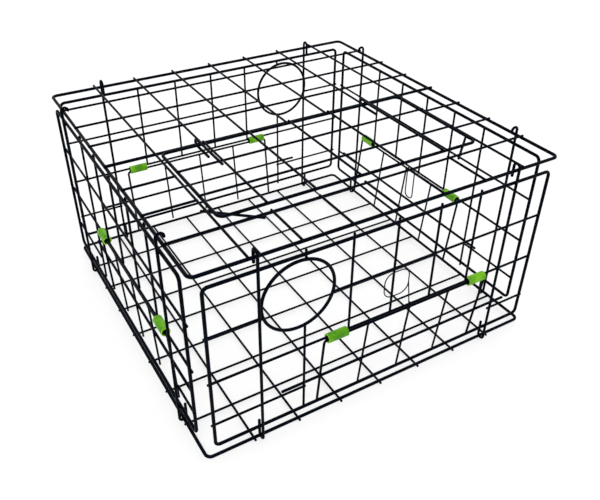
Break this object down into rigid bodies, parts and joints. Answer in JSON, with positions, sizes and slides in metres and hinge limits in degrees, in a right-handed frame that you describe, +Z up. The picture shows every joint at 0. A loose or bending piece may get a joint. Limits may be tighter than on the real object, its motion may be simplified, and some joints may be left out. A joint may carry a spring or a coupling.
{
  "type": "folding crab trap",
  "caption": "Square folding crab trap of coated steel wire mesh, with a swinging gate in each side, escape rings and a hinged door in the lid.",
  "frame": {"origin": "middle of the trap on the surface it stands on", "axes": "+Z up, -Y towards the panel that faces the viewer with the door's front edge above it, +X to the right seen from that side"},
  "size_m": [0.6256, 0.6256, 0.3472],
  "materials": {
    "wire": "satin black vinyl coating over steel wire",
    "sleeve": "semi-gloss lime green plastic tube",
    "tie": "thin black cord or coated wire"
  },
  "bodies": {
    "floor": {"floor_frame": "wire", "floor_long_wires": "wire", "floor_cross_wires": "wire"},
    "lid": {"lid_frame": "wire", "lid_hinge_rod": "wire", "lid_long_wires": "wire", "lid_cross_wires": "wire", "lid_corner_braces": "wire", "lid_tie": "tie"},
    "door": {"door_frame": "wire", "door_long_wires": "wire", "door_cross_wires": "wire", "door_hinge_hooks": "wire"},
    "front_panel": {"front_panel_frame": "wire", "front_panel_uprights": "wire", "front_panel_level_wires": "wire", "front_gate_pivot_rod": "wire", "front_panel_hooks": "wire", "front_escape_ring": "wire", "front_tie": "tie"},
    "front_gate": {"front_gate_frame": "wire", "front_gate_bars": "wire", "front_gate_stop_wire": "wire", "front_gate_sleeve_left": "sleeve", "front_gate_sleeve_right": "sleeve"},
    "right_panel": {"right_panel_frame": "wire", "right_panel_uprights": "wire", "right_panel_level_wires": "wire", "right_gate_pivot_rod": "wire", "right_panel_hooks": "wire"},
    "right_gate": {"right_gate_frame": "wire", "right_gate_bars": "wire", "right_gate_stop_wire": "wire", "right_gate_sleeve_left": "sleeve", "right_gate_sleeve_right": "sleeve"},
    "back_panel": {"back_panel_frame": "wire", "back_panel_uprights": "wire", "back_panel_level_wires": "wire", "back_gate_pivot_rod": "wire", "back_panel_hooks": "wire", "back_escape_ring": "wire"},
    "back_gate": {"back_gate_frame": "wire", "back_gate_bars": "wire", "back_gate_stop_wire": "wire", "back_gate_sleeve_left": "sleeve", "back_gate_sleeve_right": "sleeve"},
    "left_panel": {"left_panel_frame": "wire", "left_panel_uprights": "wire", "left_panel_level_wires": "wire", "left_gate_pivot_rod": "wire", "left_panel_hooks": "wire"},
    "left_gate": {"left_gate_frame": "wire", "left_gate_bars": "wire", "left_gate_stop_wire": "wire", "left_gate_sleeve_left": "sleeve", "left_gate_sleeve_right": "sleeve"}
  },
  "joints": [
    {"name": "fold", "type": "hinge", "parent": "floor", "child": "front_panel", "pos_m": [0, -0.305, 0.00785], "axis": [-1, 0, 0], "range_deg": [0, 75]},
    {"name": "back_fold", "type": "hinge", "parent": "floor", "child": "back_panel", "pos_m": [0, 0.305, 0.00785], "axis": [-1, 0, 0], "range_deg": [0, 75]},
    {"name": "lid_carry", "type": "hinge", "parent": "front_panel", "child": "lid", "pos_m": [0, -0.305, 0.33385], "axis": [1, 0, 0], "range_deg": [0, 75]},
    {"name": "left_fold", "type": "hinge", "parent": "floor", "child": "left_panel", "pos_m": [-0.305, 0, 0.00785], "axis": [0, -1, 0], "range_deg": [0, 90]},
    {"name": "right_fold", "type": "hinge", "parent": "floor", "child": "right_panel", "pos_m": [0.305, 0, 0.00785], "axis": [0, 1, 0], "range_deg": [0, 90]},
    {"name": "door", "type": "hinge", "parent": "lid", "child": "door", "pos_m": [0, 0, 0.33685], "axis": [-1, 0, 0], "range_deg": [0, 110]},
    {"name": "front_gate_swing", "type": "hinge", "parent": "front_panel", "child": "front_gate", "pos_m": [0, -0.3035, 0.14985], "axis": [-1, 0, 0], "range_deg": [-80, 0]},
    {"name": "right_gate_swing", "type": "hinge", "parent": "right_panel", "child": "right_gate", "pos_m": [0.3035, 0, 0.15935], "axis": [0, -1, 0], "range_deg": [-80, 0]},
    {"name": "back_gate_swing", "type": "hinge", "parent": "back_panel", "child": "back_gate", "pos_m": [0, 0.3035, 0.15735], "axis": [1, 0, 0], "range_deg": [-80, 0]},
    {"name": "left_gate_swing", "type": "hinge", "parent": "left_panel", "child": "left_gate", "pos_m": [-0.3035, 0, 0.15585], "axis": [0, 1, 0], "range_deg": [-80, 0]}
  ],
  "couplings": [
    {"joint": "back_fold", "follows": "fold", "ratio": 1},
    {"joint": "lid_carry", "follows": "fold", "ratio": 1},
    {"joint": "left_fold", "follows": "fold", "ratio": 1.2},
    {"joint": "right_fold", "follows": "fold", "ratio": 1.2}
  ]
}
